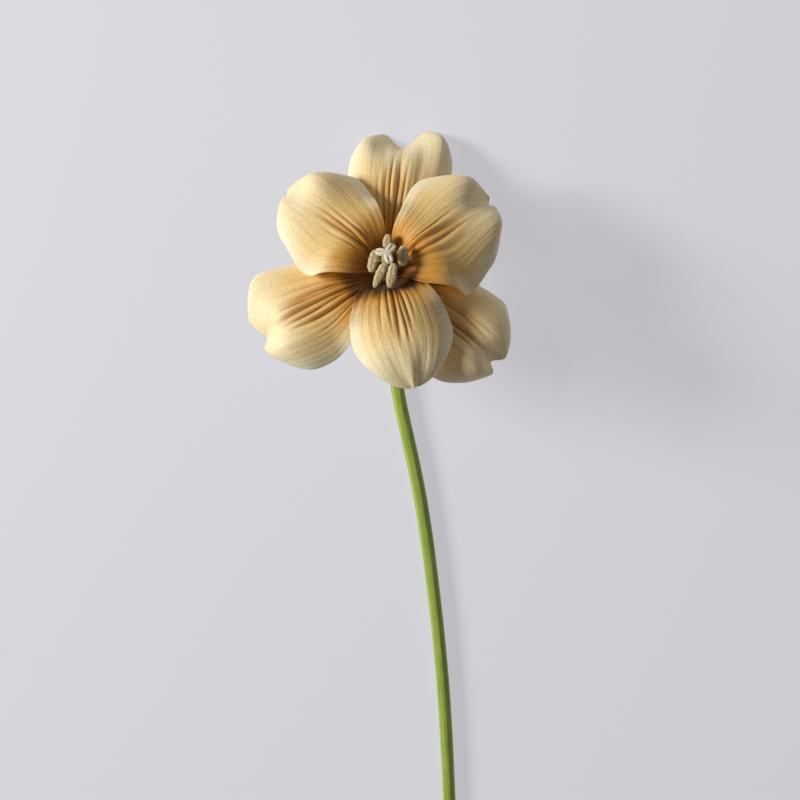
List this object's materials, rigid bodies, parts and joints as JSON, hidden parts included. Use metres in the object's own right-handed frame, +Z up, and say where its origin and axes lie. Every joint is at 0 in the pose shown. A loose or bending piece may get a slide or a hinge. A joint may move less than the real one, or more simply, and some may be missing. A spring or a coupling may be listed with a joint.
{
  "type": "tulip flower",
  "caption": "Cut tulip lying on a surface, its tepals folded right back round the open stamens and pistil, on a long leafless stem.",
  "frame": {"origin": "middle of the part's footprint on the surface it lies on", "axes": "+Y along the stem towards the bloom, +Z up off the surface, +X to the right with the bloom at the top"},
  "size_m": [0.111, 0.3429, 0.0842],
  "materials": {
    "stem": "smooth fresh green stem with fine lengthwise streaks",
    "outer_tepals": "satin petal, golden at the foot and cream at the margins, fine ribs along it",
    "inner_tepals": "satin petal, golden at the foot and cream at the margins, fine ribs along it",
    "filaments": "smooth waxy",
    "anthers": "matt, covered in pollen grains",
    "ovary": "smooth waxy",
    "stigma": "moist, finely granular"
  },
  "bodies": {
    "root": {"stem": "stem", "outer_tepal_top": "outer_tepals", "outer_tepal_left": "outer_tepals", "outer_tepal_right": "outer_tepals", "inner_tepal_left": "inner_tepals", "inner_tepal_right": "inner_tepals", "inner_tepal_front": "inner_tepals", "filament_right": "filaments", "anther_right": "anthers", "filament_top": "filaments", "anther_top": "anthers", "filament_back": "filaments", "anther_back": "anthers", "filament_left": "filaments", "anther_left": "anthers", "filament_lower_left": "filaments", "anther_lower_left": "anthers", "filament_lower_right": "filaments", "anther_lower_right": "anthers", "ovary": "ovary", "stigma": "stigma"}
  },
  "joints": []
}
